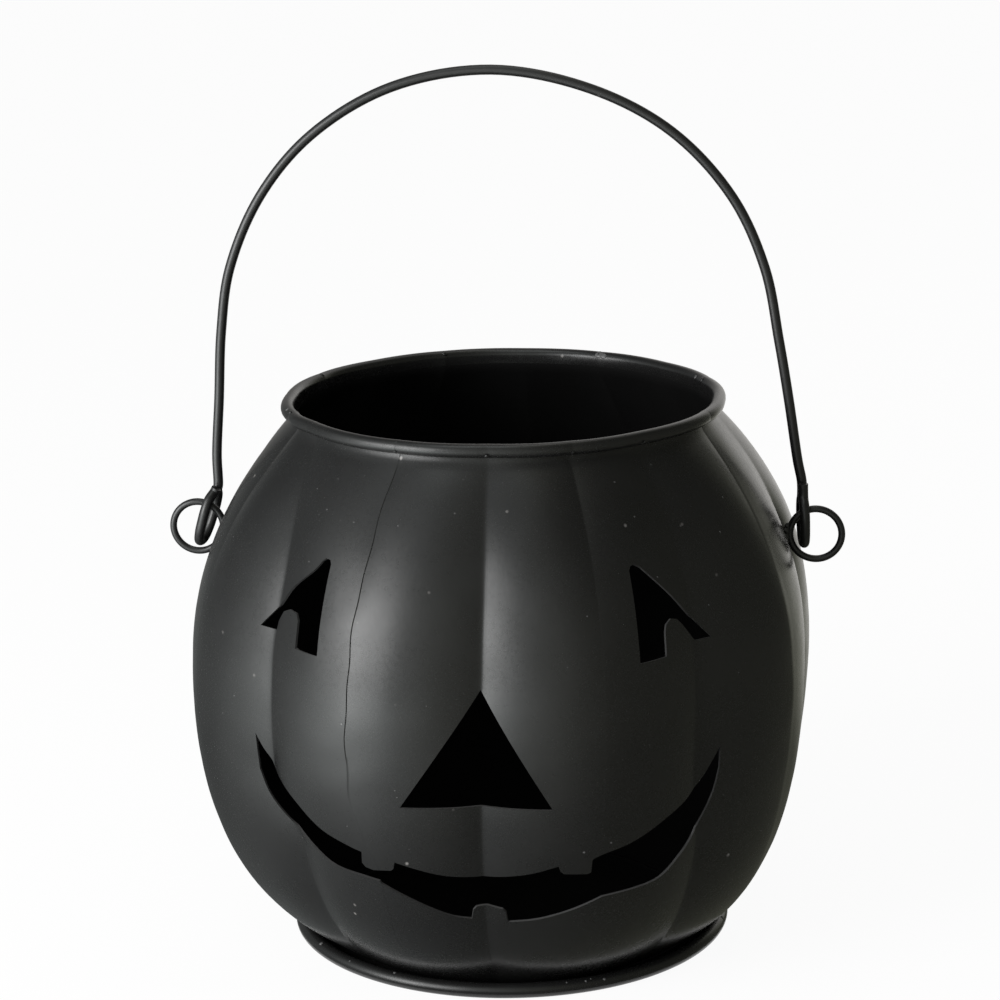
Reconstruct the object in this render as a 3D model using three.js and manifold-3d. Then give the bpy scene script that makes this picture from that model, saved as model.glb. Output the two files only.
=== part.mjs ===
// A pumpkin lantern of thin sheet iron with a wire bail. Millimetres, +Z up, the face towards -Y.
// The origin is the middle of the base, on the surface that the lantern stands on.
import * as THREE from 'three';
import { mergeVertices } from 'three/addons/utils/BufferGeometryUtils.js';
import Module from 'manifold-3d';

// Driving dimensions
const sheet = 0.6;               // thickness of the iron sheet
const clearance = 0.3;           // between pieces that touch, under the paint

const bellyRadius = 79.9;        // mean radius of the body at its widest
const bellyHeight = 72;
const footRadius = 48.9;         // lower edge of the body, on the base
const shoulderRadius = 54.7;     // where the body turns up into its short neck
const shoulderHeight = 137;
const neckHeight = 7;            // from the shoulder up to the middle of the rolled top edge
const rimRadius = 55.5;
const rimRoll = 1.7;             // radius of the rolled top edge
const bellyLean = 1.5;           // rolled by hand: the belly stands this far to the left of the axis
const footFlare = [5.1, 5.6];    // outwards and upwards, along the body's first slope off the base
const bellyFullness = [0.79, 0.51];  // share of the height below and above the belly that stays near upright
const shoulderFlare = [16.6, 20.7];  // outwards and downwards, along the body's last slope up to the neck

const pleatCount = 16;
const pleatFade = 3;             // above the shoulder, the pleats die out in this height
const pleatDepth = 3.2;          // from a lobe's crest down to the crease beside it
const pleatProud = 0.7;          // crest above the mean radius
// Degrees by which each crease was pressed off its even place, from the left ear's crease round the face
const creaseDrift = [0, 1, 4.5, -0.4, 1.3, 0.6, -1.7, -1.2, 0, 0, 0, 0, 0, 0.8, 0, 0];

const floorMargin = 4;           // the candle's floor ends this far inside the body's foot
const baseRoll = 1.9;            // radius of the base's rolled edge
const baseRollRadius = 55.4;     // radius of the circle that its middle runs on

const earWire = 1.8;             // diameter of the ear rings' wire
const earRadius = 6.6;           // of a ring, to the middle of its wire
const earHeight = 106;
const earDent = 1.0;             // the crease is pressed in this much more where a ring is welded
const earDentReach = 12;

const bailWire = 2.55;
const bailRise = 113.3;          // from the pivot to the top of the arch
const linkInboard = 3.3;         // the bail's eye hangs on the ring this far inside the ring's middle
const eyePlay = 2.0;             // free space in the eye on either side of the ring's wire
const pivotBehind = 0.7;         // the eye's middle stands this far behind the ring
const pivotBelow = 0.6;          // and this far below the ring's wire
const eyeClosed = 4.6;           // height above the pivot at which the eye closes
const tailGap = 0.4;             // between the eye's cut end and the leg beside it
// The left eye and the right eye, which were bent by hand
const eyeDrop = [9.2, 7.6];      // reach below the pivot
const eyeTail = [5.6, 8.2];      // height of the cut end above the pivot
const eyeLean = [17, 1.5];       // degrees that the eye leans outwards at its bottom
const eyeTurn = [10, 8];         // degrees that its front strand is turned outwards

// Facets
const columnsPerPleat = 4;
const roundSegments = 48;
const ironColour = 0x1b1c1b;

const degrees = Math.PI / 180;
const iron = (name) =>
  new THREE.MeshStandardMaterial({ name, color: ironColour, roughness: 0.42, metalness: 0.35 });

// The body's section: two arcs that meet at the belly, as radius and height of the outer face
const rimHeight = shoulderHeight + neckHeight;
const pleatTop = shoulderHeight + pleatFade;
const neckRadius = rimRadius - rimRoll + sheet;
const footHeight = sheet + clearance;
const lowerArc = new THREE.CubicBezierCurve(
  new THREE.Vector2(footRadius, footHeight),
  new THREE.Vector2(footRadius + footFlare[0], footHeight + footFlare[1]),
  new THREE.Vector2(bellyRadius, bellyHeight - bellyFullness[0] * (bellyHeight - footHeight)),
  new THREE.Vector2(bellyRadius, bellyHeight));
const upperArc = new THREE.CubicBezierCurve(
  new THREE.Vector2(bellyRadius, bellyHeight),
  new THREE.Vector2(bellyRadius, bellyHeight + bellyFullness[1] * (shoulderHeight - bellyHeight)),
  new THREE.Vector2(shoulderRadius + shoulderFlare[0], shoulderHeight - shoulderFlare[1]),
  new THREE.Vector2(shoulderRadius, shoulderHeight));
const fineSection = [...lowerArc.getPoints(120), ...upperArc.getPoints(120).slice(1)];

function meanRadius(height) {
  const above = fineSection.findIndex((point) => point.y >= height);
  if (above < 1) return above === 0 ? footRadius : shoulderRadius;
  const [low, high] = [fineSection[above - 1], fineSection[above]];
  return THREE.MathUtils.mapLinear(height, low.y, high.y, low.x, high.x);
}

// How strongly the pleats show at a height: fully at the belly, fading out at the foot and the neck
function pleatStrength(height) {
  const share = THREE.MathUtils.clamp((height - footHeight) / (pleatTop - footHeight), 0.01, 0.995);
  return Math.sqrt(Math.sin(Math.PI * share));
}

// Distance of the wall's outer face from its own middle. across runs from -1 to 1 over a lobe.
function wallRadius(mean, height, across, dent) {
  const press = dent * earDent * Math.exp(-(((height - earHeight) / earDentReach) ** 2)) * across ** 4;
  return mean + (pleatProud - pleatDepth * across ** 2) * pleatStrength(height) - press;
}

// The middle of the wall strays to the left, most at a third of the height, where share * (1 - share)^2 peaks
const leanPeak = 4 / 27;
function wallMiddle(height) {
  const share = THREE.MathUtils.clamp(height / shoulderHeight, 0, 1);
  return (-bellyLean * share * (1 - share) ** 2) / leanPeak;
}

// Azimuth is measured in degrees round the body from the face, towards the right ear
const pitch = 360 / pleatCount;
const creaseAt = (k) => (k - pleatCount / 4) * pitch + creaseDrift[k % creaseDrift.length];
const columns = [];
for (let k = 0; k < pleatCount; k++) {
  const start = creaseAt(k);
  const end = k + 1 < pleatCount ? creaseAt(k + 1) : creaseAt(0) + 360;
  for (let j = 0; j < columnsPerPleat; j++) {
    const across = (2 * j) / columnsPerPleat - 1;
    const byEar = k % (pleatCount / 2) === 0 ? across < 0 : (k + 1) % (pleatCount / 2) === 0 && across > 0;
    columns.push({ azimuth: start + ((across + 1) / 2) * (end - start), across, dent: byEar ? 1 : 0 });
  }
}

function around(azimuth, radius, height, middle = 0) {
  const angle = azimuth * degrees;
  return new THREE.Vector3(middle + radius * Math.sin(angle), -radius * Math.cos(angle), height);
}

// A closed skin over columns of points that are joined to the next column round the body
function roundSkin(rings) {
  const rows = rings[0].length;
  const positions = rings.flat().flatMap((point) => point.toArray());
  const index = [];
  rings.forEach((ring, j) => {
    const next = (j + 1) % rings.length;
    for (let i = 0; i < rows; i++) {
      const up = (i + 1) % rows;
      const [a, b, c, d] = [j * rows + i, next * rows + i, next * rows + up, j * rows + up];
      index.push(a, b, c, a, c, d);
    }
  });
  const geometry = new THREE.BufferGeometry();
  geometry.setAttribute('position', new THREE.Float32BufferAttribute(positions, 3));
  geometry.setIndex(index);
  return geometry;
}

// Points of a rolled edge's section about its middle, from one angle to another, in degrees
function rollPoints(radius, height, roll, from, to, steps) {
  return Array.from({ length: steps + 1 }, (_, i) => {
    const angle = THREE.MathUtils.lerp(from, to, i / steps) * degrees;
    return new THREE.Vector2(radius + roll * Math.cos(angle), height + roll * Math.sin(angle));
  });
}

// The pleated body, its top edge rolled outwards and down over the rim wire
function bodySkin() {
  const mean = [...lowerArc.getPoints(8), ...upperArc.getPoints(8).slice(1)];
  const rollOut = rollPoints(rimRadius, rimHeight, rimRoll, 180, -100, 8);
  const rollIn = rollPoints(rimRadius, rimHeight, rimRoll - sheet, -100, 180, 6);
  const rings = columns.map(({ azimuth, across, dent }) => {
    const outer = mean.map((point) => new THREE.Vector2(wallRadius(point.x, point.y, across, dent), point.y));
    outer.push(new THREE.Vector2(neckRadius, pleatTop));
    const inner = outer.map((point, i) => {
      const before = outer[Math.max(i - 1, 0)];
      const after = outer[Math.min(i + 1, outer.length - 1)];
      const along = after.clone().sub(before).normalize();
      return new THREE.Vector2(point.x - sheet * along.y, point.y + sheet * along.x);
    });
    inner[inner.length - 1].set(neckRadius - sheet, pleatTop);
    const section = [...outer, ...rollIn.slice().reverse(), ...rollOut.slice().reverse(), ...inner.reverse()];
    return section.map((point) => around(azimuth, point.x, point.y, wallMiddle(point.y)));
  });
  return roundSkin(rings);
}

// Face cut-outs, as azimuth in degrees and height in millimetres
const nose = [[1.3, 88.4], [-13.4, 57.8], [13.5, 57.8]];

function eyeOutline({ side, tip, notchTop, notchInner, lift }) {
  const points = [
    [29.7, 92.2], [30.1, 113.4], [30.5, 114.4], [31.6, 114.6], [32.7, 113.8], [35.1, 110.6], [38.1, 106.5],
    [40.2, 102.8], [42.8, 98.6], tip, [tip[0] - 3.6, tip[1] - 0.1],
    [39.5, 98.8], [38.3, notchTop - 0.6], [37.2, notchTop], [notchInner + 0.7, notchTop - 0.7],
    [notchInner + 0.1, notchTop - 2.6], [notchInner, 92.9],
  ];
  return points.map(([azimuth, height]) => [side * azimuth, height + lift]);
}
const eyes = [
  { side: -1, tip: [44.9, 95.8], notchTop: 101.9, notchInner: 34.7, lift: 0.4 },
  { side: 1, tip: [44.8, 95.8], notchTop: 101.6, notchInner: 35.4, lift: -0.4 },
];

// The mouth is two lips, each a run of curves, with two square teeth above and one below
const curved = (points) => new THREE.SplineCurve(points.map(([x, y]) => new THREE.Vector2(x, y)))
  .getPoints(2 * points.length).map((point) => point.toArray());
const mouth = [
  ...curved([[-45.7, 68.7], [-41.5, 64.4], [-38.4, 60.4], [-35, 53.8], [-30.3, 48.3], [-21.8, 44.3]]),
  [-21.8, 41.2], [-21, 40], [-19.5, 39.5], [-16.3, 39.9], [-15.8, 42.8],
  ...curved([[-15.4, 42.7], [-11.2, 41.3], [-5.3, 40.3], [1.7, 40.1], [8.7, 40.9], [14.7, 42.7]]),
  [15.3, 40.6], [16.4, 39.8], [19.9, 39.6], [20.7, 40.4], [21.2, 43.9],
  ...curved([[21.4, 44.2], [28.6, 47.2], [34.8, 51.7], [40.6, 57.7], [45.6, 68]]),
  ...curved([[45.7, 62.8], [44.4, 55.6], [41.5, 47.1], [38.5, 40.9], [34.9, 36.1], [29.7, 34.3]]),
  ...curved([[23.3, 33.4], [17.3, 30.1], [11.2, 28], [5.5, 27.6]]),
  [5.1, 31], [4.3, 31.7], [1.5, 32.8], [-0.4, 32.4], [-1, 31.6], [-1.4, 28.9],
  ...curved([[-1.8, 28.9], [-6, 29.7], [-13.2, 33.4], [-18.6, 37], [-22.5, 38.1]]),
  ...curved([[-28.7, 39.5], [-32.6, 43.2], [-37.4, 48.7], [-42.7, 54.6], [-45.3, 61]]),
];

// A punch whose sides all run towards the body's axis. Its ends lie well clear of the sheet, and two steps
// between them keep its sides straight where they cross it.
const punchReach = [0.25, 0.8, 1.06, 2].map((share) => share * bellyRadius);
function punch(outline) {
  const steps = punchReach.length - 1;
  const shape = new THREE.Shape(outline.map(([azimuth, height]) => new THREE.Vector2(azimuth, height)));
  const geometry = new THREE.ExtrudeGeometry(shape, { depth: steps, steps, bevelEnabled: false });
  const position = geometry.getAttribute('position');
  for (let i = 0; i < position.count; i++) {
    const radius = punchReach[Math.round(position.getZ(i))];
    const point = around(position.getX(i), radius, position.getY(i));
    position.setXYZ(i, point.x, point.y, point.z);
  }
  return geometry;
}

const wasm = await Module();
wasm.setup();

function solid(geometry) {
  const bare = geometry.clone();
  bare.deleteAttribute('normal');
  bare.deleteAttribute('uv');
  const merged = mergeVertices(bare, 1e-4);
  return new wasm.Manifold(new wasm.Mesh({
    numProp: 3,
    vertProperties: new Float32Array(merged.getAttribute('position').array),
    triVerts: new Uint32Array(merged.index.array),
  }));
}

function fromSolid(manifold) {
  const mesh = manifold.getMesh();
  const geometry = new THREE.BufferGeometry();
  geometry.setAttribute('position', new THREE.Float32BufferAttribute(mesh.vertProperties, 3));
  geometry.setIndex([...mesh.triVerts]);
  geometry.computeVertexNormals();
  return geometry;
}

// A section in radius and height, turned about the upright axis
function turned(points) {
  return new THREE.LatheGeometry(points, roundSegments).rotateX(Math.PI / 2);
}

// The flat base, its edge rolled up and in over the base wire
function baseSkin() {
  const outside = rollPoints(baseRollRadius, baseRoll, baseRoll, -90, 195, 8);
  const inside = rollPoints(baseRollRadius, baseRoll, baseRoll - sheet, 195, -90, 6);
  const candleFloor = [footRadius - floorMargin, 0].map((radius) => new THREE.Vector2(radius, sheet));
  return turned([new THREE.Vector2(0, 0), ...outside, ...inside, ...candleFloor]);
}

// An ear ring's middle: as far in as the ring goes before it meets the floor of its crease
const wireInCrease = earWire / 2 + clearance;
function earReach(side) {
  let reach = 0;
  for (let angle = -80; angle <= 80; angle += 1) {
    const height = earHeight + earRadius * Math.sin(angle * degrees);
    const crease = (z) => wallRadius(meanRadius(z), z, 1, 1) + side * wallMiddle(z);
    const slope = crease(height + 0.5) - crease(height - 0.5);
    const sidewall = (2 * pleatDepth * pleatStrength(height)) / (crease(height) * (pitch / 2) * degrees);
    const standOff = wireInCrease * Math.hypot(1, slope) * Math.hypot(1, sidewall);
    reach = Math.max(reach, crease(height) + standOff + earRadius * Math.cos(angle * degrees));
  }
  return reach;
}

// The eye's outline: shares of its half width, then of its height, above the pivot and below it
const eyeAbove = [0.77, 0.68];
const eyeBelow = [[0.97, 0.35], [0.66, 0.8]];

// The bail's pivot is where its eye hangs on the upper inner part of the ear ring
const pivotHeight = earHeight + Math.sqrt(earRadius ** 2 - linkInboard ** 2) - pivotBelow;
const eyeHalfWidth = (bailWire + earWire) / 2 + eyePlay;

// One end of the bail, from the cut end round the eye and up to the foot of the leg
const sides = [-1, 1];
function bailEye(side, end) {
  const [turn, lean] = [eyeTurn[end] * degrees, eyeLean[end] * degrees];
  const pivot = new THREE.Vector3(side * (earReach(side) - linkInboard), pivotBehind, pivotHeight);
  const back = new THREE.Vector3(-side * Math.sin(turn), Math.cos(turn), 0);
  const up = new THREE.Vector3(-side * Math.sin(lean), 0, Math.cos(lean));
  const strand = (bailWire + tailGap) / 2;
  const half = [
    [strand, eyeTail[end]], [strand, eyeClosed],
    eyeAbove.map((share) => share * eyeHalfWidth), [eyeHalfWidth, 0],
    ...eyeBelow.map(([width, drop]) => [width * eyeHalfWidth, -drop * eyeDrop[end]]),
  ];
  const place = ([across, rise]) => pivot.clone().addScaledVector(back, across).addScaledVector(up, rise);
  return [
    ...half.map(([across, rise]) => place([-across, rise])),
    place([0, -eyeDrop[end]]),
    ...half.slice().reverse().map(place),
  ];
}

// The arch, as shares of the leg's distance from the axis and of the rise above the pivot
const archLeft = [[1, 0.12], [0.985, 0.25], [0.968, 0.41], [0.931, 0.553], [0.818, 0.718], [0.637, 0.856],
  [0.363, 0.962]];
const archRight = [[0.986, 0.12], [0.955, 0.26], [0.921, 0.396], [0.873, 0.559], [0.764, 0.719],
  [0.566, 0.863], [0.302, 0.957]];
const archTop = -0.027;

function bailPath() {
  const [left, right] = sides.map(bailEye);
  const [leftFoot, rightFoot] = [left[left.length - 1], right[right.length - 1]];
  const legPoint = (foot) => ([outwards, rise]) =>
    new THREE.Vector3(outwards * foot.x, leftFoot.y, pivotHeight + rise * bailRise);
  return new THREE.CatmullRomCurve3([
    ...left,
    ...archLeft.map(legPoint(leftFoot)),
    legPoint(rightFoot)([archTop, 1]),
    ...archRight.slice().reverse().map(legPoint(rightFoot)),
    ...right.reverse(),
  ], false, 'centripetal');
}

function wireAlong(path, diameter, sides, steps) {
  const section = new THREE.Shape(Array.from({ length: sides }, (_, i) => {
    const angle = (2 * Math.PI * i) / sides;
    return new THREE.Vector2((diameter / 2) * Math.cos(angle), (diameter / 2) * Math.sin(angle));
  }));
  return new THREE.ExtrudeGeometry(section, { steps, extrudePath: path, bevelEnabled: false });
}

const lantern = new THREE.Group();
function add(name, geometry) {
  const mesh = new THREE.Mesh(geometry, iron(name));
  mesh.name = name;
  lantern.add(mesh);
  return mesh;
}

const cuts = [nose, mouth, ...eyes.map(eyeOutline)].map((outline) => solid(punch(outline)));
const cutBody = cuts.reduce((body, cut) => body.subtract(cut), solid(bodySkin()));
add('pumpkin_shell', fromSolid(cutBody));

const wireIn = (radius, roll) =>
  new THREE.TorusGeometry(radius, roll - sheet - clearance, 6, roundSegments);
add('rim_wire', wireIn(rimRadius, rimRoll)).position.z = rimHeight;
add('base_pan', baseSkin());
add('base_wire', wireIn(baseRollRadius, baseRoll)).position.z = baseRoll;

for (const side of sides) {
  const ring = add(side < 0 ? 'left_ear_ring' : 'right_ear_ring',
    new THREE.TorusGeometry(earRadius, earWire / 2, 8, 28));
  ring.rotation.x = Math.PI / 2;
  ring.position.set(side * earReach(side), 0, earHeight);
}

add('bail_handle', wireAlong(bailPath(), bailWire, 8, 124));

export default lantern;
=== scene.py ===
"""A pumpkin lantern of black-painted sheet iron, with a face cut out of it and a wire bail."""
from math import cos, pi, radians, sin, sqrt

import bmesh
import bpy
import numpy as np
from mathutils import Matrix, Vector
from mathutils.geometry import delaunay_2d_cdt


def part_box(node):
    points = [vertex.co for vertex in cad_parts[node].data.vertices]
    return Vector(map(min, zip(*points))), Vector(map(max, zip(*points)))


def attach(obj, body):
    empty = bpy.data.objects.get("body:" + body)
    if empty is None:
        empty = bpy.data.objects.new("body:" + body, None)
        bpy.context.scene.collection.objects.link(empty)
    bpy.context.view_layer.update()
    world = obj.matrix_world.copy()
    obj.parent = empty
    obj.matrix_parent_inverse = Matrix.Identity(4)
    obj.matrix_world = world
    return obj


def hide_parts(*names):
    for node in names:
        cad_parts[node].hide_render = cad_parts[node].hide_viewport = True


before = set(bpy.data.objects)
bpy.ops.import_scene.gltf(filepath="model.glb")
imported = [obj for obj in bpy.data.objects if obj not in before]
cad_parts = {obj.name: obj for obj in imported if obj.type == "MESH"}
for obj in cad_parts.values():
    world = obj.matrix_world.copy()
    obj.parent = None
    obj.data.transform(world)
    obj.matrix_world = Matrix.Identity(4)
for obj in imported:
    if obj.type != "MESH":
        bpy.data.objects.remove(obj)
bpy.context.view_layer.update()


# The body: one strip of thin sheet iron, painted satin black. The face is punched out of the flat strip,
# which is then pressed into upright pleats and rolled into a barrel, its top edge curled out over a wire.
# Sizes are in millimetres until the mesh is made, and azimuths in degrees round from the face to the right.
MM = 0.001
sheet = 0.6
foot_radius, foot_height = 48.9, 0.9
foot_flare = 2.6, 4.2           # outwards and upwards, along the first slope off the foot
belly_radius, belly_height = 79.9, 74
belly_fullness = 0.855, 0.52    # shares of the height below and above the belly that stay near upright
shoulder_radius, shoulder_height = 54.7, 137
shoulder_flare = 11.5, 12.3     # outwards and downwards, along the last slope up to the neck
pleat_top = shoulder_height + 1.5
rim_radius, rim_height, rim_roll = 55.1, 140.5, 1.7
curl = rim_roll - sheet
ear_level = 106
# The creases are counted from the left ear, 0, past the middle of the face, 4, and the right ear, 8. The
# even ones are deep valleys. The odd ones are the crests of eight wide lobes, where the strip's top is
# tucked in to meet the neck, and at one of them, left of the nose, the strip's ends lap. All were placed by
# hand, so they stray from their even places.
pleats, face_crease, lap = 16, 4, 3
crease_numbers = np.arange(pleats + 1)
crease_drift = [0, 1, 2.7, 0.9, 1.9, 0.6, -1.8, 0, 0, 0, 0, 0, 0, 0.8, 0, 0]
stray_at_foot, foot_stray_below, foot_stray_over = {2: 6, 3: 4.6, 6: 2.5}, 62, 24
stray_at_top, top_stray_above = {2: -11, 7: 4}, 100
lap_stray = 0.16
valley_press = [0.7, 0.9, 1, 0.8, 0.7, 0.8, 0.75, 0.85]
crest_fold = [0.15, 0.05, 0.1, 0.3, 0.12, 0.12, 0.12, 0.12]


def creases(heights):
    """Azimuth of each crease at each height."""
    heights = np.asarray(heights, float)[:, None]
    low = np.clip((foot_stray_below - heights) / foot_stray_over, 0, 1)
    high = np.clip((heights - top_stray_above) / (shoulder_height - top_stray_above), 0, 1)
    foot, top = (np.array([strays.get(k % pleats, 0) for k in crease_numbers])
                 for strays in (stray_at_foot, stray_at_top))
    even = (crease_numbers - face_crease) * 360 / pleats + np.array(crease_drift)[crease_numbers % pleats]
    waver = np.sin(heights / 4.3) + 0.8 * np.sin(heights / 2.1 + 1)
    even = even + lap_stray * (crease_numbers == lap) * waver
    return even + foot * low ** 2 * (3 - 2 * low) + top * high ** 2


def bezier(corners, shares):
    """Points of a cubic curve with four corners, at shares of the way along it."""
    a, b, c, d = (np.array(corner, float) for corner in corners)
    t = np.asarray(shares)[:, None]
    return (1 - t) ** 3 * a + 3 * (1 - t) ** 2 * t * b + 3 * (1 - t) * t ** 2 * c + t ** 3 * d


def body_section(steps):
    """Radius and height of the wall's outer face, at even steps from the foot up to the neck."""
    foot, belly, shoulder = ((foot_radius, foot_height), (belly_radius, belly_height),
                             (shoulder_radius, shoulder_height))
    off_foot = foot_radius + foot_flare[0], foot_height + foot_flare[1]
    below = belly_radius, belly_height - belly_fullness[0] * (belly_height - foot_height)
    above = belly_radius, belly_height + belly_fullness[1] * (shoulder_height - belly_height)
    to_neck = shoulder_radius + shoulder_flare[0], shoulder_height - shoulder_flare[1]
    fine = np.linspace(0, 1, 300)
    line = np.vstack([bezier([foot, off_foot, below, belly], fine),
                      bezier([belly, above, to_neck, shoulder], fine)[1:]])
    run = np.r_[0, np.cumsum(np.hypot(*np.diff(line, axis=0).T))]
    even = np.linspace(0, run[-1], steps + 1)
    return np.column_stack([np.interp(even, run, line[:, 0]), np.interp(even, run, line[:, 1])])


def curved(points, steps=6):
    """A smooth line through the points."""
    points = np.array(points, float)
    line = []
    for k in range(len(points) - 1):
        a, b, c, d = points[max(k - 1, 0)], points[k], points[k + 1], points[min(k + 2, len(points) - 1)]
        for t in np.arange(steps) / steps:
            line.append(b + 0.5 * t * (c - a + t * (2 * a - 5 * b + 4 * c - d + t * (3 * (b - c) + d - a))))
    return [tuple(point) for point in line] + [tuple(points[-1])]


# The cut-outs, as azimuth and height
nose = [(1.8, 87.2), (-12.2, 58.1), (14.5, 58)]
left_eye = (
    [(-28.5, 93.1), (-34.5, 93.2), (-34.9, 99.8), (-35.8, 101.3), (-38.1, 101.5), (-40.3, 100.3),
     (-41.7, 97.6), (-42.1, 95.2)]
    + curved([(-46.1, 95.5), (-41.5, 102.2), (-38.5, 106.8), (-33.7, 111.6), (-31.7, 114.5)], 4)
    + [(-30.9, 115.2), (-29.8, 114.9), (-29.4, 114)])
right_eye = (
    [(30.1, 92.3), (30.3, 113.4), (30.7, 114.3), (31.5, 114.6)]
    + curved([(32.9, 113.7), (35.4, 110.6), (39, 106), (41.8, 101.9), (45.1, 97.1)], 4)
    + [(47.1, 94.2), (43.7, 94), (42.2, 96.4), (40.6, 98.9), (39.4, 100.4), (37.9, 100.9), (36.6, 99.8),
       (36.2, 98.3), (35.9, 92.5)])
upper_lip = (
    curved([(-46.2, 68), (-44.5, 64.6), (-42.8, 62), (-40.8, 58.3), (-34.5, 53.4), (-28.8, 48.9),
            (-23, 46.4), (-19.9, 45.3)])
    + [(-20.2, 42.2), (-19.6, 41.1), (-18.1, 40.6), (-14.7, 41), (-14.2, 41.5), (-13.8, 43.5)]
    + curved([(-13.7, 43.4), (-9.9, 41.8), (-4.4, 39.8), (2.5, 39), (9.7, 40.4), (15.6, 42.9)])
    + [(16, 41.4), (16.6, 40.7), (20.9, 40.3), (21.5, 40.7), (21.6, 44.1)]
    + curved([(21.8, 44.4), (23.8, 45.5), (29.3, 47.5), (36, 51.4), (43.3, 56.2), (48.4, 66.4)]))
lower_lip = (
    curved([(48.5, 60.8), (47.4, 53.3), (44.6, 44.6), (40.5, 39.2), (36.1, 35.1), (30.4, 33.8)])
    + curved([(24, 33.2), (18.1, 29.8), (12.1, 27.3), (6.3, 26.1)])
    + [(6, 29.1), (5.4, 29.9), (2.3, 30.6), (0.3, 30.4), (-0.4, 29.5), (-0.8, 26.9)]
    + curved([(-1, 26.9), (-5.1, 28.4), (-11.8, 33), (-16.8, 36.8)])
    + curved([(-17.2, 37.6), (-20.6, 38.3), (-27.3, 39.2), (-32.2, 42), (-38.6, 46.6), (-43.3, 52.5),
              (-45.7, 58.7)]))


def strip_outline(outline, spacing=2.5):
    """An outline's points, close together, as counts of creases along the strip and height."""
    outline = np.array(outline)
    points = []
    for start, end in zip(outline, np.roll(outline, -1, axis=0)):
        steps = int(np.ceil(np.hypot(*(end - start) * (belly_radius * pi / 180, 1)) / spacing))
        points.extend(start + (end - start) * step / steps for step in range(steps))
    points = np.array(points)
    along = [np.interp(turn, places, crease_numbers)
             for turn, places in zip(points[:, 0], creases(points[:, 1]))]
    return np.column_stack([along, points[:, 1]])


cut_outs = [strip_outline(outline) for outline in (nose, left_eye, right_eye, upper_lip + lower_lip)]


def inside(points, outline):
    """Which points lie inside a closed outline."""
    x, y = points.T
    odd = np.zeros(len(points), bool)
    for (x0, y0), (x1, y1) in zip(outline, np.roll(outline, -1, axis=0)):
        if y0 != y1:
            odd ^= ((y0 > y) != (y1 > y)) & (x < (x1 - x0) * (y - y0) / (y1 - y0) + x0)
    return odd


def in_cut_out(points):
    """Which points lie inside one of the cut-outs."""
    return np.any([inside(points, outline) for outline in cut_outs], axis=0)


def punched(places, heights):
    """The flat strip as a grid over its length and height, with the face punched out of it. Cells that an
    outline crosses are cut along it, and all others stay whole."""
    columns, rows = len(places), len(heights)
    flat = np.column_stack([np.repeat(places, rows), np.tile(heights, columns)])

    def cell_at(points):
        return np.searchsorted(places, points[:, 0]) - 1, np.searchsorted(heights, points[:, 1]) - 1

    crossed = np.zeros((columns, rows), bool)
    for outline in cut_outs:
        for start, end in zip(outline, np.roll(outline, -1, axis=0)):
            step = end - start
            shares = [0, 1]
            for axis, lines in ((0, places), (1, heights)):
                if step[axis]:
                    shares.extend((lines - start[axis]) / step[axis])
            shares = np.sort([share for share in shares if 0 <= share <= 1])
            crossed[cell_at(start + (shares[:-1] + shares[1:])[:, None] / 2 * step)] = True
    crossed = crossed[:, :-1]
    here = (np.arange(columns)[:, None] * rows + np.arange(rows - 1)).ravel()
    there = (here + rows) % len(flat)
    cells = np.column_stack([here, there, there + 1, here + 1])
    faces = cells[~crossed.ravel() & ~in_cut_out((flat[here] + flat[there + 1]) / 2)].tolist()
    cells_to_cut = cells[crossed.ravel()]
    edges = [pair for cell in cells_to_cut.tolist() for pair in zip(cell, cell[1:] + cell[:1])]
    used = sorted(set(cells_to_cut.ravel().tolist()))
    place = {corner: k for k, corner in enumerate(used)}
    points = [flat[corner] for corner in used]
    links = {tuple(sorted((place[a], place[b]))) for a, b in edges}
    for outline in cut_outs:
        first = len(points)
        points.extend(outline)
        links.update((first + k, first + (k + 1) % len(outline)) for k in range(len(outline)))
    scale = np.array([belly_radius * 2 * pi / pleats, 1])
    made, _, triangles, sources, _, _ = delaunay_2d_cdt(
        [Vector(point * scale) for point in points], sorted(links), [], 0, 1e-4)
    made = np.array([tuple(point) for point in made]) / scale
    number = [used[source[0]] if source and source[0] < len(used) else None for source in sources]
    added = [k for k, known in enumerate(number) if known is None]
    for new, k in enumerate(added):
        number[k] = len(flat) + new
    middles = np.array([made[triangle].mean(axis=0) for triangle in map(list, triangles)])
    keep = crossed[cell_at(middles)] & ~in_cut_out(middles)
    faces.extend([number[k] for k in triangle] for triangle, kept in zip(triangles, keep) if kept)
    return np.vstack([flat, made[added]]), faces


# Columns lie close together at each crease, and rows at even steps of length up the wall
beside_crease = [0, 0.011, 0.04, 0.09, 0.15, 0.24, 0.36, 0.51, 0.67, 0.83]
over_pleat = np.array(beside_crease + [1] + [2 - share for share in beside_crease[:0:-1]]) / 2
columns = np.array([k + share for k in range(pleats) for share in over_pleat])
wall = body_section(82)
strip, strip_faces = punched(columns, wall[:, 1])

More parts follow.
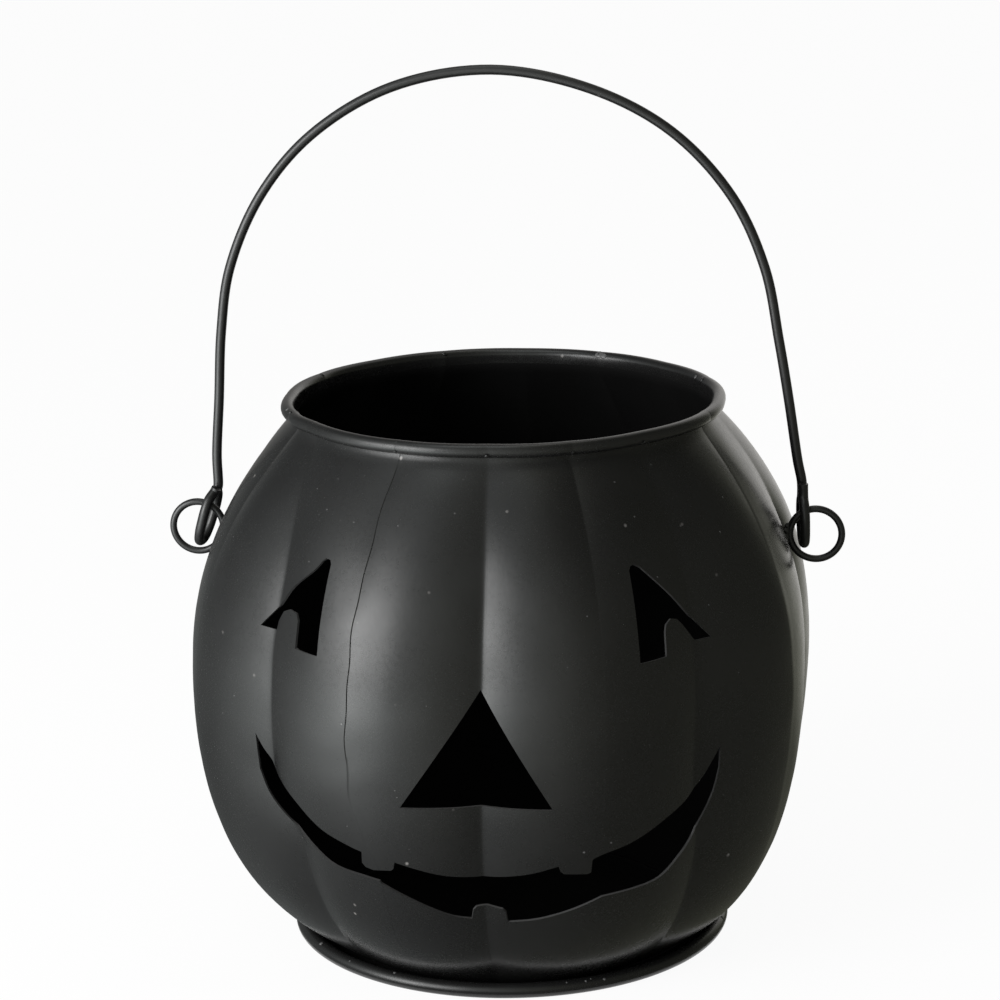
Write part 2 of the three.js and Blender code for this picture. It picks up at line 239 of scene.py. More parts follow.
# Above the wall, the neck and the curl continue each column
turns = np.radians(np.linspace(180, -100, 19))
collar = np.vstack([[rim_radius - curl, pleat_top], np.column_stack(
    [rim_radius + curl * np.cos(turns), rim_height + curl * np.sin(turns)])])
rows, climb, collar_start = len(wall), len(collar), len(strip)
for j in range(len(columns)):
    here, there = ([(column + 1) * rows - 1] + [collar_start + column * climb + i for i in range(climb)]
                   for column in (j, (j + 1) % len(columns)))
    strip_faces.extend([here[i], there[i], there[i + 1], here[i + 1]] for i in range(climb))
along = np.r_[strip[:, 0], np.repeat(columns, climb)]
height = np.r_[strip[:, 1], np.tile(collar[:, 1], len(columns))]
radius = np.r_[np.interp(strip[:, 1], wall[:, 1], wall[:, 0]), np.tile(collar[:, 0], len(columns))]
pleat = np.clip(along.astype(int), 0, pleats - 1)
share = along - pleat
places = creases(height)
every = np.arange(len(along))
azimuth = places[every, pleat] * (1 - share) + places[every, pleat + 1] * share

# What the press does at each point. The top is gathered in over each crest, and the valleys differ in depth.
across = 2 * share - 1
gather = np.clip((height - 94) / 40, 0, 1) ** 1.6
tucked = gather * np.where(pleat % 2 == 1, 1 - share, share)
lobe = pleat // 2
from_crest = along - 2 * lobe - 1
press = np.array(valley_press)[(lobe + (from_crest > 0)) % (pleats // 2)]
# Beside the right ear the sheet runs flat from the crest to the valley
flat_side = (lobe == 3) * np.clip(from_crest / 0.08, 0, 1)
crease_at_crest = np.array(crest_fold)[lobe] + flat_side * np.interp(height, [92, 118], [0.6, 1.2])
beside_ear = np.isin(pleat, [0, 8]) & (across < 0) | np.isin(pleat, [7, 15]) & (across > 0)
# The lap's outer end stands clear over the middle of the wall and lies flat at the foot
lap_width = 0.4
over_lap = np.where(along <= lap, np.clip(1 - (lap - along) / lap_width, 0, 1) ** 2, 0)
over_lap = over_lap * np.interp(height, [0, 35, 62, 85, 116, 123, 140], [0.05, 0.1, 0.4, 1, 1, 0.7, 0.75])
pressing = {"across": across, "beside_ear": beside_ear, "from_crest": from_crest, "press": press,
            "crease_at_crest": crease_at_crest, "tucked": tucked, "over_lap": over_lap}


class Flow:
    """A value on its way through a node tree. Arithmetic on it adds nodes."""

    def __init__(self, tree, socket=None):
        self.tree, self.socket = tree, socket

    def node(self, kind, values=(), output=0, **settings):
        """A new node, with flows or plain values for its inputs, and one of its outputs."""
        made = self.tree.nodes.new(kind)
        for name, value in settings.items():
            setattr(made, name, value)
        for key, value in dict(values).items():
            if isinstance(value, Flow):
                self.tree.links.new(value.socket, made.inputs[key])
            else:
                made.inputs[key].default_value = value
        return Flow(self.tree, made.outputs[output])

    def math(self, operation, *values):
        return self.node("ShaderNodeMath", dict(enumerate(values)), operation=operation)

    def __add__(self, other): return self.math("ADD", self, other)
    def __radd__(self, other): return self.math("ADD", other, self)
    def __sub__(self, other): return self.math("SUBTRACT", self, other)
    def __rsub__(self, other): return self.math("SUBTRACT", other, self)
    def __mul__(self, other): return self.math("MULTIPLY", self, other)
    def __rmul__(self, other): return self.math("MULTIPLY", other, self)
    def __truediv__(self, other): return self.math("DIVIDE", self, other)
    def __pow__(self, other): return self.math("POWER", self, other)
    def __neg__(self): return self.math("MULTIPLY", self, -1.0)
    def __abs__(self): return self.math("ABSOLUTE", self)
    def sine(self): return self.math("SINE", self)
    def cosine(self): return self.math("COSINE", self)
    def exponent(self): return self.math("EXPONENT", self)

    def clamp(self, low=0.0, high=1.0):
        return self.node("ShaderNodeClamp", {"Value": self, "Min": low, "Max": high})

    def split(self):
        """The three parts of a vector."""
        parts = self.tree.nodes.new("ShaderNodeSeparateXYZ")
        self.tree.links.new(self.socket, parts.inputs[0])
        return [Flow(self.tree, parts.outputs[k]) for k in range(3)]


def shape_tree(name, sizes):
    """A Geometry Nodes tree with a mesh and the named sizes as its inputs."""
    tree = bpy.data.node_groups.new(name, "GeometryNodeTree")
    tree.interface.new_socket("Geometry", in_out="INPUT", socket_type="NodeSocketGeometry")
    for size, value in sizes.items():
        tree.interface.new_socket(size, in_out="INPUT", socket_type="NodeSocketFloat").default_value = value
    tree.interface.new_socket("Geometry", in_out="OUTPUT", socket_type="NodeSocketGeometry")
    entry = tree.nodes.new("NodeGroupInput")
    return tree, [Flow(tree, socket) for socket in list(entry.outputs)[:len(sizes) + 1]]


def end_tree(geometry, material):
    """Makes a tree's geometry real, gives it a material and leads it out."""
    real = geometry.node("GeometryNodeRealizeInstances", {"Geometry": geometry})
    finished = real.node("GeometryNodeSetMaterial", {"Geometry": real, "Material": material})
    leave = geometry.tree.nodes.new("NodeGroupOutput")
    geometry.tree.links.new(finished.socket, leave.inputs[0])


def shaped(piece, tree, sizes, thickness=None):
    """Puts a piece through a tree, and through Solidify where it gets a thickness, and leaves it a mesh."""
    steps = piece.modifiers.new("shape", "NODES")
    steps.node_group = tree
    for item in tree.interface.items_tree:
        if item.in_out == "INPUT" and item.name in sizes:
            steps[item.identifier] = float(sizes[item.name])
    if thickness:
        solid = piece.modifiers.new("wall", "SOLIDIFY")
        solid.thickness, solid.offset = thickness, -1
        solid.use_even_offset = solid.use_quality_normals = True
    bpy.context.view_layer.update()
    result = bpy.data.meshes.new_from_object(piece.evaluated_get(bpy.context.evaluated_depsgraph_get()))
    piece.modifiers.clear()
    piece.data = result
    result.name = piece.name


def new_piece(name, vertices, edges=(), faces=()):
    """An object made of plain mesh data."""
    mesh = bpy.data.meshes.new(name)
    mesh.from_pydata([tuple(vertex) for vertex in vertices], list(edges), [list(face) for face in faces])
    piece = bpy.data.objects.new(name, mesh)
    bpy.context.scene.collection.objects.link(piece)
    return piece


def store(piece, name, values):
    """Keeps a value at each of the piece's points, for a tree to read."""
    piece.data.attributes.new(name, "FLOAT", "POINT").data.foreach_set("value", np.asarray(values, float))


def smooth(piece, degrees=38):
    """Shades a piece smooth, apart from edges sharper than the angle."""
    piece.data.shade_smooth()
    piece.data.set_sharp_from_angle(angle=radians(degrees))


# Satin black paint on the sheet: deep black, uneven in its sheen, over metal that isn't quite flat, with
# specks of dust caught in it
def black_paint(name, tone, sheen, dents, dust, gloss=0.5):
    """A paint by its shade, its roughness, the depth of its dents in millimetres, and its dust and gloss."""
    material = bpy.data.materials.new(name)
    material.use_nodes = True
    tree = material.node_tree
    paint = tree.nodes["Principled BSDF"]
    place = Flow(tree).node("ShaderNodeTexCoord", output="Object")

    def noise(scale, detail, roughness):
        return place.node("ShaderNodeTexNoise", {
            "Vector": place, "Scale": scale, "Detail": detail, "Roughness": roughness})

    def mixed(factor, first, second):
        return place.node("ShaderNodeMix", {"Factor": factor, 6: first, 7: second},
                          output=2, data_type="RGBA")

    cloud, grain, swell = noise(38.0, 4.0, 0.6), noise(900.0, 3.0, 0.6), noise(24.0, 1.5, 0.4)
    rare = noise(130.0, 1.0, 0.5)
    speck_at = place.node("ShaderNodeTexVoronoi", {"Vector": place, "Scale": 190.0}, output="Distance")
    specks = (1 - speck_at * 9.0).clamp() * ((rare - 0.62) * 14.0).clamp() * dust
    dark, light = ((*[tone * part] * 3, 1) for part in (0.85, 1.2))
    dust_grey = 0.22, 0.21, 0.2, 1
    colour = mixed(specks, mixed(cloud, dark, light), dust_grey)
    rough = sheen + (cloud - 0.5) * 0.14 + (grain - 0.5) * 0.1 + specks * 0.3
    tree.links.new(colour.socket, paint.inputs["Base Color"])
    tree.links.new(rough.clamp(0.05, 1.0).socket, paint.inputs["Roughness"])
    paint.inputs["Specular IOR Level"].default_value = gloss
    relief = swell * dents + grain * 0.012
    bump = relief.node("ShaderNodeBump", {"Height": relief, "Strength": 1.0, "Distance": MM})
    tree.links.new(bump.socket, paint.inputs["Normal"])
    return material


sheet_paint = black_paint("sheet_paint", tone=0.006, sheen=0.28, dents=0.35, dust=0.8)
# The inside is the same black, darker still and almost without gloss: painted shade inside the hollow
# lantern
painted_shade_inside = black_paint("painted_shade_inside", tone=0.004, sheen=0.85, dents=0.0, dust=0.0, gloss=0.05)
cut_edge = black_paint("cut_edge", tone=0.022, sheen=0.5, dents=0.0, dust=0.0)

pleating = {
    "Pleat Depth": 6.0 * MM, "Crown": 1.8 * MM, "Valley Softness": 0.014, "Crest Softness": 0.05,
    "Tuck Depth": 2.8 * MM, "Foot Height": foot_height * MM, "Pleat Top": pleat_top * MM,
    "Ear Dent": 1.0 * MM, "Ear Height": ear_level * MM, "Ear Reach": 12 * MM, "Belly Lean": 1.3 * MM,
    "Shoulder Height": shoulder_height * MM, "Lap": 0.24 * MM, "Unevenness": 0.35 * MM, "Seed": 4.0,
}
tree, (flat, depth, crown, softness, crest_softness, tuck, foot, top, ear_dent, ear_height, ear_reach, lean,
       shoulder, lap_height, uneven, seed) = shape_tree("pleat_and_roll", pleating)
named = {name: flat.node("GeometryNodeInputNamedAttribute", {"Name": name}, data_type="FLOAT")
         for name in pressing}
turn, reach, level = flat.node("GeometryNodeInputPosition").split()
up_wall = ((level - foot) / (top - foot)).clamp(0.01, 0.995)
strength = (up_wall * pi).sine() ** 0.5
to_crease = 1 - abs(named["across"])
fold = 1 - 2 * ((to_crease ** 2 + softness ** 2) ** 0.5 - softness) + to_crease ** 2
to_valley = 1 - (named["from_crest"] ** 2 + crest_softness ** 2) ** 0.5
slope = 1 - ((to_valley ** 2 + softness ** 2) ** 0.5 - softness)
lobe_fold = slope ** 2 + (slope - slope ** 2) * named["crease_at_crest"]
dent = named["beside_ear"] * ear_dent * fold ** 2 * (-(((level - ear_height) / ear_reach) ** 2)).exponent()
hollows = flat.node("ShaderNodeTexNoise", {
    "Vector": flat.node("ShaderNodeCombineXYZ", {0: turn * 2.2, 1: seed, 2: level * 30.0}),
    "Scale": 1.6, "Detail": 2.0}) - 0.5
pressed = depth * named["press"] * lobe_fold + tuck * named["tucked"] * fold
wall_radius = reach + (crown - pressed + hollows * uneven * 2.0) * strength - dent
wall_radius = wall_radius + lap_height * named["over_lap"] * (strength * 3.0).clamp()
# The belly leans most at a third of the height, where rise * (1 - rise) ** 2 has its peak
rise = (level / shoulder).clamp()
lean_peak = 4 / 27
middle = -(lean * rise * (1 - rise) ** 2) / lean_peak
rolled_place = flat.node("ShaderNodeCombineXYZ", {
    0: middle + wall_radius * turn.sine(), 1: -(wall_radius * turn.cosine()), 2: level})
end_tree(flat.node("GeometryNodeSetPosition", {"Geometry": flat, "Position": rolled_place}), sheet_paint)

body = new_piece("pumpkin_body", np.column_stack([np.radians(azimuth), radius * MM, height * MM]),
                 faces=strip_faces)
for name, values in pressing.items():
    store(body, name, values)
shaped(body, tree, pleating, thickness=sheet * MM)
# The corners that lay inside the cut-outs are on no face
punched_away = bmesh.new()
punched_away.from_mesh(body.data)
bmesh.ops.delete(punched_away, geom=[corner for corner in punched_away.verts if not corner.link_faces],
                 context="VERTS")
punched_away.to_mesh(body.data)
punched_away.free()
# Solidify lists the outer faces first, then the inner ones, then the cut edges of the sheet. Below the curl
# the inner faces, and the cut edges outside the face, take the painted shade of the inside.
body.data.materials.append(painted_shade_inside)
body.data.materials.append(cut_edge)
outer_slot, inner_slot, edge_slot = range(3)
flat_faces = len(strip_faces)
face_low, face_high = 20, 120
for face in body.data.polygons[flat_faces:]:
    cut = face_low * MM < face.center.z < face_high * MM and face.index >= 2 * flat_faces
    on_curl = face.center.z > pleat_top * MM
    face.material_index = edge_slot if cut else outer_slot if on_curl else inner_slot
smooth(body)
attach(body, "lantern")
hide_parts("pumpkin_shell")


# Drawn wire: the two wires that stiffen the body's rim and the base's edge lie bare inside their curls. The
# same wire, painted, makes the ears and the bail further on.
bare_iron = bpy.data.materials.new("bare_iron")
bare_iron.use_nodes = True
iron = bare_iron.node_tree.nodes["Principled BSDF"]
place = Flow(bare_iron.node_tree).node("ShaderNodeTexCoord", output="Object")
streak = place.node("ShaderNodeTexNoise", {"Vector": place, "Scale": 420.0, "Detail": 3.0})
iron.inputs["Metallic"].default_value = 1.0
iron.inputs["Base Color"].default_value = (0.3, 0.3, 0.3, 1)
bare_iron.node_tree.links.new((0.35 + streak * 0.25).socket, iron.inputs["Roughness"])

drawn_wire, (line, wire_radius) = shape_tree("drawn_wire", {"Wire Radius": 1 * MM})
path = line.node("GeometryNodeMeshToCurve", {"Mesh": line})
section = line.node("GeometryNodeCurvePrimitiveCircle", {"Resolution": 20, "Radius": wire_radius},
                    mode="RADIUS")
end_tree(line.node("GeometryNodeCurveToMesh", {"Curve": path, "Profile Curve": section, "Fill Caps": True}),
         bare_iron)


def wire(name, points, diameter, material, closed=False):
    """Round wire along a line of points."""
    corners = len(points)
    edges = [(k, (k + 1) % corners) for k in range(corners if closed else corners - 1)]
    piece = new_piece(name, np.asarray(points) * MM, edges=edges)
    shaped(piece, drawn_wire, {"Wire Radius": diameter / 2 * MM})
    piece.data.materials.clear()
    piece.data.materials.append(material)
    smooth(piece)
    return piece


def hoop(radius, height, corners=160):
    """The line of a level hoop round the lantern's axis."""
    return [(radius * sin(2 * pi * k / corners), -radius * cos(2 * pi * k / corners), height)
            for k in range(corners)]


base_roll, base_roll_radius = 1.9, 55.4
play = 0.3
for name, ring_radius, ring_height, roll in (("rim_wire", rim_radius, rim_height, rim_roll),
                                             ("base_wire", base_roll_radius, base_roll, base_roll)):
    piece = wire(name + "_bare", hoop(ring_radius, ring_height), 2 * (roll - sheet - play), bare_iron,
                 closed=True)
    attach(piece, "lantern")
    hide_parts(name)


# The base: a disc of the same sheet, turned up round its edge and curled in over the base wire. The body
# stands on it, just inside the curl.
def turned(name, line, columns=192):
    """A thin section, closed on the axis at both ends, turned about the upright axis."""
    ring = line[1:-1]
    turns = [2 * pi * k / columns for k in range(columns)]
    around = [(r * sin(turn), -r * cos(turn), h) for turn in turns for r, h in ring]
    vertices = [(0, 0, line[0][1])] + around + [(0, 0, line[-1][1])]
    faces = []
    steps = len(ring)
    for k in range(columns):
        here, there = 1 + k * steps, 1 + (k + 1) % columns * steps
        faces.append((0, there, here))
        faces.extend((here + i, there + i, there + i + 1, here + i + 1) for i in range(steps - 1))
        faces.append((here + steps - 1, there + steps - 1, len(vertices) - 1))
    return new_piece(name, np.array(vertices) * MM, faces=faces)


def roll_line(radius, height, roll, start, end, steps):
    """Part of a circle in section, from one angle to another."""
    angles = np.radians(np.linspace(start, end, steps + 1))
    return [(radius + roll * cos(angle), height + roll * sin(angle)) for angle in angles]


roll_ends = -90, 195
base = turned("base_plate", [(0, 0), (20, 0), (45, 0)]
              + roll_line(base_roll_radius, base_roll, base_roll, *roll_ends, 22)
              + roll_line(base_roll_radius, base_roll, base_roll - sheet, *roll_ends[::-1], 16)
              + [(50, sheet), (30, sheet), (0, sheet)])
base.data.materials.append(sheet_paint)
base.data.materials.append(painted_shade_inside)
# Inside the roll the upper face takes the same painted shade as the body's inside, darker and matt
gutter_reach = 54.4
for face in base.data.polygons:
    if sheet * MM / 2 < face.center.z < 1.5 * sheet * MM and face.center.xy.length < gutter_reach * MM:
        face.material_index = 1
smooth(base)
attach(base, "lantern")
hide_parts("base_pan")


# The ears: two rings of thin painted wire, each welded upright into a crease at the side of the body
wire_paint = black_paint("wire_paint", tone=0.008, sheen=0.34, dents=0.15, dust=0.4)
ear_wire, ear_radius = 1.8, 6.6
ear_centres = {}
for side in ("left", "right"):
    low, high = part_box(side + "_ear_ring")
    centre = (low + high) / 2 / MM
    ear_centres[side] = centre
    angles = np.linspace(0, 2 * pi, 72, endpoint=False)
    ring = wire(side + "_ear", [(centre.x + ear_radius * cos(a), centre.y, centre.z + ear_radius * sin(a))
                                for a in angles], ear_wire, wire_paint, closed=True)
    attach(ring, "lantern")
    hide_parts(side + "_ear_ring")


# The bail: one length of thicker painted wire, arched over the opening and bent by hand at each end into a
# long eye that hangs in the ear ring, its cut end laid against the leg
bail_wire, bail_rise = 2.55, 113.3
inboard, behind, below = 3.3, 0.7, 0.6
eye_half = (bail_wire + ear_wire) / 2 + 2.0
pivot_height = ear_level + sqrt(ear_radius ** 2 - inboard ** 2) - below


def bail_eye(side, sign, drop, tail, lean, turn, tip=0.0):
    """The line of one eye, from the wire's cut end, through the ear ring and up to the foot of the leg. It
    hangs drop below its pivot, leans inwards and turns by degrees, and its cut end reaches tail above the
    pivot, bent aside by tip."""
    lean, turn = radians(lean), radians(turn)
    pivot = Vector((ear_centres[side].x - sign * inboard, behind, pivot_height))
    back = Vector((-sign * sin(turn), cos(turn), 0))
    up = Vector((-sign * sin(lean), 0, cos(lean)))
    strand = (bail_wire + 0.4) / 2
    half = [(strand, tail), (strand, 4.6), (0.77 * eye_half, 0.68 * eye_half), (eye_half, 0),
            (0.98 * eye_half, -0.35 * drop), (0.85 * eye_half, -0.68 * drop), (0.5 * eye_half, -0.93 * drop)]
    front = [pivot - back * out + up * rise for out, rise in half]
    front[0].x += tip
    front[1].x += tip * 0.6
    return front + [pivot - up * drop] + [pivot + back * out + up * rise for out, rise in reversed(half)]


def through(points, steps=10):
    """A smooth line through unevenly spaced points."""
    points = [np.array(point) for point in points]
    points = [2 * points[0] - points[1]] + points + [2 * points[-1] - points[-2]]
    line = []
    for a, b, c, d in zip(points, points[1:], points[2:], points[3:]):
        ta, tb, tc = (np.linalg.norm(q - p) ** 0.5 for p, q in ((a, b), (b, c), (c, d)))
        leave = ((b - a) / ta - (c - a) / (ta + tb) + (c - b) / tb) * tb
        arrive = ((c - b) / tb - (d - b) / (tb + tc) + (d - c) / tc) * tb
        for t in np.arange(steps) / steps:
            line.append((2 * t ** 3 - 3 * t ** 2 + 1) * b + (t ** 3 - 2 * t ** 2 + t) * leave
                        + (3 * t ** 2 - 2 * t ** 3) * c + (t ** 3 - t ** 2) * arrive)
    return line + [points[-2]]


left_end = bail_eye("left", -1, drop=9.5, tail=5.6, lean=17, turn=10, tip=0.6)
right_end = bail_eye("right", 1, drop=7.6, tail=8.2, lean=1.5, turn=8)
# The arch, as shares of each leg's distance from the middle and of the bail's rise
left_arch = [(1, 0.12), (0.985, 0.25), (0.968, 0.41), (0.931, 0.553), (0.818, 0.718), (0.637, 0.856),
             (0.363, 0.962)]
right_arch = [(0.986, 0.12), (0.955, 0.26), (0.921, 0.396), (0.873, 0.559), (0.764, 0.719), (0.566, 0.863),
              (0.302, 0.957)]
arch_top = [(-0.027, 1)]


def leg(foot, shares):
    """The points of one leg of the arch above its foot."""
    return [Vector((foot.x * out, left_end[-1].y, pivot_height + rise * bail_rise)) for out, rise in shares]


bail_line = (left_end + leg(left_end[-1], left_arch) + leg(right_end[-1], arch_top + right_arch[::-1])
             + right_end[::-1])
bail = wire("bail", through(bail_line), bail_wire, wire_paint)
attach(bail, "bail")
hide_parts("bail_handle")


# Marks of the making and of wear: a small bead of weld holds each ear ring in its crease, the rim's roll is
# pinched where a crease runs up under it, and paint has come off in small chips. Each mark is a flat drop
# that sits half sunk in the face that carries it.
tree_of_drops, (spots, flatness) = shape_tree("drop_on_each_spot", {"Flatness": 0.35})
facing = spots.node("GeometryNodeInputNamedAttribute", {"Name": "facing"}, data_type="FLOAT_VECTOR")
reach = spots.node("GeometryNodeInputNamedAttribute", {"Name": "size"}, data_type="FLOAT")
drop = spots.node("GeometryNodeMeshIcoSphere", {"Radius": 1.0, "Subdivisions": 2})
ripple = drop.node("ShaderNodeVectorMath", {
    0: drop.node("ShaderNodeTexNoise", {"Scale": 1.3, "Detail": 1.0}, output="Color"), 1: (0.5, 0.5, 0.5)},
    operation="SUBTRACT")
drops = spots.node("GeometryNodeInstanceOnPoints", {
    "Points": spots,
    "Instance": drop.node("GeometryNodeSetPosition", {"Geometry": drop, "Offset": ripple}),
    "Rotation": facing.node("FunctionNodeAlignRotationToVector", {"Vector": facing}, axis="Z"),
    "Scale": reach.node("ShaderNodeCombineXYZ", {0: reach, 1: reach, 2: reach * flatness})})
knocked_paint = black_paint("knocked_paint", tone=0.06, sheen=0.5, dents=0.0, dust=0.0)
end_tree(drops, knocked_paint)


def marks(name, spots, material, flatness):
    """Drops at the given places, each with the way that its face looks and its radius in millimetres."""
    places, facings, sizes = zip(*spots)
    piece = new_piece(name, places)
    ways = piece.data.attributes.new("facing", "FLOAT_VECTOR", "POINT")
    ways.data.foreach_set("vector", np.ravel(facings))
    store(piece, "size", np.array(sizes) * MM)
    shaped(piece, tree_of_drops, {"Flatness": flatness})
    piece.data.materials.clear()
    piece.data.materials.append(material)
    smooth(piece, 60)
    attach(piece, "lantern")


def outwards(azimuth):
    """The level way out from the lantern's axis."""
    turn = radians(azimuth)
    return Vector((sin(turn), -cos(turn), 0))


def on_body(azimuth, height, size):
    """The spot where a level line from outside first meets the body."""
    out = outwards(azimuth)
    found, place, facing, _ = body.ray_cast(out * 0.12 + Vector((0, 0, height * MM)), -out)
    return (place, facing, size) if found else None


def on_roll(azimuth, angle, radius, height, roll, size):
    """A spot on a rolled edge. The angle runs from outwards, through up, to inwards."""
    out, lift = outwards(azimuth), radians(angle)
    facing = out * cos(lift) + Vector((0, 0, sin(lift)))
    return out * radius * MM + Vector((0, 0, height * MM)) + facing * roll * MM, facing, size


bpy.context.view_layer.update()
rim_at = rim_radius, rim_height, rim_roll
base_at = base_roll_radius, base_roll, base_roll
welds = []
for side, sign in (("left", -1), ("right", 1)):
    for level, size in ((-1.9, 1.0), (-0.6, 1.3), (0.8, 1.25), (2.0, 0.9)):
        centre = ear_centres[side]
        inner_end = centre.x - sign * (sqrt(ear_radius ** 2 - level ** 2) + ear_wire / 2)
        welds.append((Vector((inner_end, centre.y, centre.z + level)) * MM, Vector((sign, 0, 0)), size))
marks("ear_welds", welds, wire_paint, 0.9)

# Each pinch by its crease, its angle on the roll and its size
pinch_spots = [(3, -32, 0.45), (4, -30, 0.5), (5, -35, 0.5), (6, -25, 0.45), (9, 150, 0.8), (11, 135, 0.6),
               (13, 140, 0.7), (15, 120, 0.6), (1, 60, 0.5)]
crease_tops = creases([shoulder_height])[0]
marks("rim_pinches", [on_roll(crease_tops[k], angle, *rim_at, size) for k, angle, size in pinch_spots],
      sheet_paint, 0.5)

# Chips on the wall by azimuth, height and size, with more strewn at random, and on the rolls by azimuth,
# angle and size
wall_chips = [
    (-35.7, 125, 0.3), (-42, 128.4, 0.25), (-36.6, 131.5, 0.25), (-27.2, 123.6, 0.3), (-4.9, 127, 0.3),
    (-16.7, 124, 0.25), (-35.8, 113.3, 0.25), (34.6, 124.4, 0.3), (60.4, 124, 0.35), (54.9, 117.2, 0.3),
    (36.3, 110.8, 0.3), (47.3, 101.7, 0.25), (20.6, 104.7, 0.25), (45, 133.9, 0.25), (32.6, 132, 0.25),
    (-13.7, 62.6, 0.22), (-13.4, 60.8, 0.22), (24, 48.3, 0.4), (19.1, 46.5, 0.45), (-22.9, 78.1, 0.4),
    (8, 62, 0.2), (52, 84, 0.2), (-52, 76, 0.25), (-8, 84, 0.18), (31, 72, 0.2)]
base_chips = [(-26, 75, 0.35), (20, 60, 0.25), (25, 50, 0.3), (26.5, 62, 0.2), (30, 40, 0.35),
              (-55, 60, 0.5), (83, 45, 0.6), (-41, 50, 0.2), (150, 60, 0.4), (-140, 50, 0.4)]
rim_chips = [(157.5, 140, 1.1), (156, 148, 0.8), (117, 150, 0.5), (-70, 60, 0.5), (-9, 100, 0.25),
             (38, 80, 0.25)]
chips = [on_body(turn, level, 0.65 * size) for turn, level, size in wall_chips]
random = np.random.default_rng(11)
for _ in range(45):
    chips.append(on_body(random.uniform(-180, 180), random.uniform(14, 134), random.uniform(0.08, 0.16)))
chips += [on_roll(turn, angle, *base_at, size) for turn, angle, size in base_chips]
chips += [on_roll(turn, angle, *rim_at, size) for turn, angle, size in rim_chips]
marks("paint_chips", [chip for chip in chips if chip], knocked_paint, 0.25)


# The studio: a pale floor that shows white, a white room, and one large soft lamp to the left of the camera
studio = bpy.data.materials.new("studio_floor")
studio.use_nodes = True
tree = studio.node_tree
matt_white = tree.nodes["Principled BSDF"]
matt_white.inputs["Base Color"].default_value = (0.8, 0.8, 0.8, 1)
matt_white.inputs["Roughness"].default_value = 0.9


def seen(tree):
    """1 for a ray that a viewer, a gloss or a clear piece sends out."""
    rays = tree.nodes.new("ShaderNodeLightPath")
    by_camera, by_gloss, by_glass = (
        Flow(tree, rays.outputs[name]) for name in ("Is Camera Ray", "Is Glossy Ray", "Is Transmission Ray"))
    return (by_camera + by_gloss + by_glass).clamp()


shown = seen(tree)
glow = shown.node("ShaderNodeEmission", {"Color": (1, 1, 1, 1), "Strength": 1.0})
white = shown.node("ShaderNodeMixShader", {0: shown * 0.94, 1: Flow(tree, matt_white.outputs[0]), 2: glow})
tree.links.new(white.socket, tree.nodes["Material Output"].inputs["Surface"])
floor = new_piece("floor", [(-4, -4, 0), (4, -4, 0), (4, 4, 0), (-4, 4, 0)], faces=[(0, 1, 2, 3)])
floor.data.materials.append(studio)

world = bpy.data.worlds.new("studio")
bpy.context.scene.world = world
world.use_nodes = True
tree = world.node_tree
sky = tree.nodes["Background"]
sky.inputs["Color"].default_value = (1, 1, 1, 1)
tree.links.new((0.6 + seen(tree) * 0.4).socket, sky.inputs["Strength"])


def sight(azimuth, elevation):
    """The way from the lantern towards something that stands round it."""
    return outwards(azimuth) * cos(radians(elevation)) + Vector((0, 0, sin(radians(elevation))))


key_data = bpy.data.lights.new("key", "AREA")
key_data.shape, key_data.size, key_data.size_y, key_data.energy = "RECTANGLE", 0.46, 0.62, 18.5
key = bpy.data.objects.new("key", key_data)
bpy.context.scene.collection.objects.link(key)
key_away, key_distance = sight(-46, 11), 1.0
key.location = Vector((0, 0, 0.09)) + key_away * key_distance
key.rotation_mode = "QUATERNION"
key.rotation_quaternion = key_away.to_track_quat("Z", "Y")

# A surround hangs round the lantern and a mat lies under it, both glowing with painted light of their own,
# bright towards the left of the camera and overhead and dark elsewhere: painted reflections. Only their
# reflection shows.
reflection_glow = bpy.data.materials.new("painted_reflection_surround")
reflection_glow.use_nodes = True
tree = reflection_glow.node_tree
surface = tree.nodes["Principled BSDF"]
surface.inputs["Base Color"].default_value = (0, 0, 0, 1)
surface.inputs["Specular IOR Level"].default_value = 0.0
surface.inputs["Emission Strength"].default_value = 1.0
tree.links.new(Flow(tree).node("ShaderNodeAttribute", output="Color", attribute_name="shade").socket,
               surface.inputs["Emission Color"])
surround_reach, surround_columns, surround_rows = 0.95, 72, 20
mat_radii = [0.058, 0.08, 0.12, 0.18, 0.25, 0.35, 0.5, 0.7, 0.95]
surround_azimuths = np.linspace(-180, 180, surround_columns, endpoint=False)
around, up = (part.ravel() for part in np.meshgrid(
    surround_azimuths, np.linspace(0, 88, surround_rows), indexing="ij"))
mat_around, mat_reach = (part.ravel() for part in np.meshgrid(surround_azimuths, mat_radii, indexing="ij"))


def ring_points(around, reach, height):
    """Points round the lantern by azimuth, distance and height."""
    turns = np.radians(around)
    return np.column_stack([reach * np.sin(turns), -reach * np.cos(turns), height])


def band(start, rows):
    """Faces over the rows of points that stand in columns round the lantern."""
    faces = []
    for j in range(surround_columns):
        here, there = (start + rows * column for column in (j, (j + 1) % surround_columns))
        faces.extend((here + i, there + i, there + i + 1, here + i + 1) for i in range(rows - 1))
    return faces


surround_lift, mat_lift = 0.001, 0.0008
lift = np.radians(up)
surround_points = ring_points(around, surround_reach * np.cos(lift), surround_lift + surround_reach * np.sin(lift))
mat_points = ring_points(mat_around, mat_reach, np.full(len(mat_reach), mat_lift))
surround = new_piece("painted_reflection_surround", np.vstack([surround_points, mat_points]),
                  faces=band(0, surround_rows) + band(len(surround_points), len(mat_radii)))
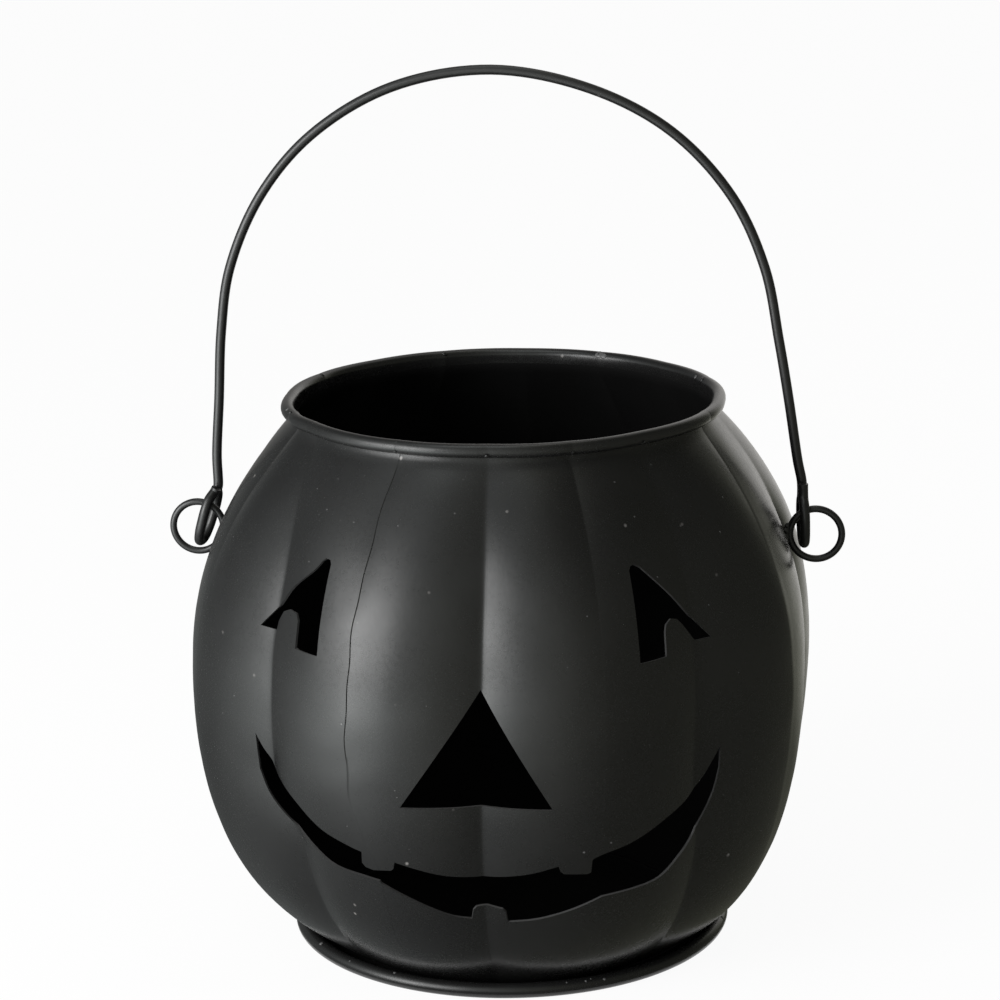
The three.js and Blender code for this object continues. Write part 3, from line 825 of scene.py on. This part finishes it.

# The glow of the painted reflections by azimuth, scaled by height and brightest overhead, and on the mat by
# distance
tones = {-180: 0.75, -165: 0.35, -140: 0.2, -118: 0.17, -100: 0.3, -84: 0.75, -70: 1.05, -30: 1.1, -12: 0.8,
         4: 0.55, 24: 0.26, 45: 0.16, 90: 0.14, 112: 0.1, 128: 0.12, 139: 0.4, 150: 0.75, 160: 1.0, 172: 1.0,
         180: 0.75}
tone_at, tone = list(tones), list(tones.values())
by_height = np.interp(up, [0, 25, 45, 64, 74, 90], [1, 0.95, 0.62, 0.6, 1.7, 2.2])
towards_key = np.exp(-((mat_around + 44) / 24) ** 2) * np.interp(mat_reach, [0.14, 0.3], [0, 2.0])
mat_glare = np.interp(mat_reach, [0, 0.09, 0.16, 0.3], [0.15, 0.22, 0.5, 1.1]) * (1 + towards_key)
least_mat_shade = 0.13
shades = np.r_[np.interp(around, tone_at, tone) * by_height,
               np.maximum(np.interp(mat_around, tone_at, tone) * mat_glare, least_mat_shade)]
# The painted reflections are tinted cool on the left of the room, a little warmer on the right, neutral at
# the back
room_left, room_right, room_back = (0.965, 1.02, 1.005), (1.02, 1.04, 0.82), (1.02, 1.0, 0.965)
everywhere = np.r_[around, mat_around][:, None]
to_right = np.interp(everywhere, [-20, 40], [0, 1])
to_back = np.interp(abs(everywhere), [135, 155], [0, 1])
tint = np.array(room_left) * (1 - to_right) + np.array(room_right) * to_right
tint = tint * (1 - to_back) + np.array(room_back) * to_back
colours = np.column_stack([shades[:, None] * tint, np.ones(len(shades))])
surround.data.attributes.new("shade", "FLOAT_COLOR", "POINT").data.foreach_set("color", colours.ravel())
surround.data.materials.append(reflection_glow)
surround.visible_camera = surround.visible_diffuse = surround.visible_shadow = surround.visible_transmission = False


# The camera stands a little to the right of the face and above it, turned slightly clockwise
camera_data = bpy.data.cameras.new("camera")
camera_data.sensor_width, camera_data.lens, camera_data.clip_start = 36, 115.77, 0.01
camera = bpy.data.objects.new("camera", camera_data)
bpy.context.scene.collection.objects.link(camera)
bpy.context.scene.camera = camera
camera_azimuth, camera_elevation, camera_roll, camera_distance = 6.35, 14.75, radians(0.96), 0.828
aim_aside, aim_height = -1.36, 114
back = sight(camera_azimuth, camera_elevation)
level_right = Vector((cos(radians(camera_azimuth)), sin(radians(camera_azimuth)), 0))
level_up = back.cross(level_right)
right = level_right * cos(camera_roll) - level_up * sin(camera_roll)
upright = level_right * sin(camera_roll) + level_up * cos(camera_roll)
aim = level_right * aim_aside * MM + Vector((0, 0, aim_height * MM))
turned_to = Matrix((right, upright, back)).transposed().to_4x4()
camera.matrix_world = Matrix.Translation(aim + back * camera_distance) @ turned_to

bpy.context.scene.view_settings.view_transform = "Standard"
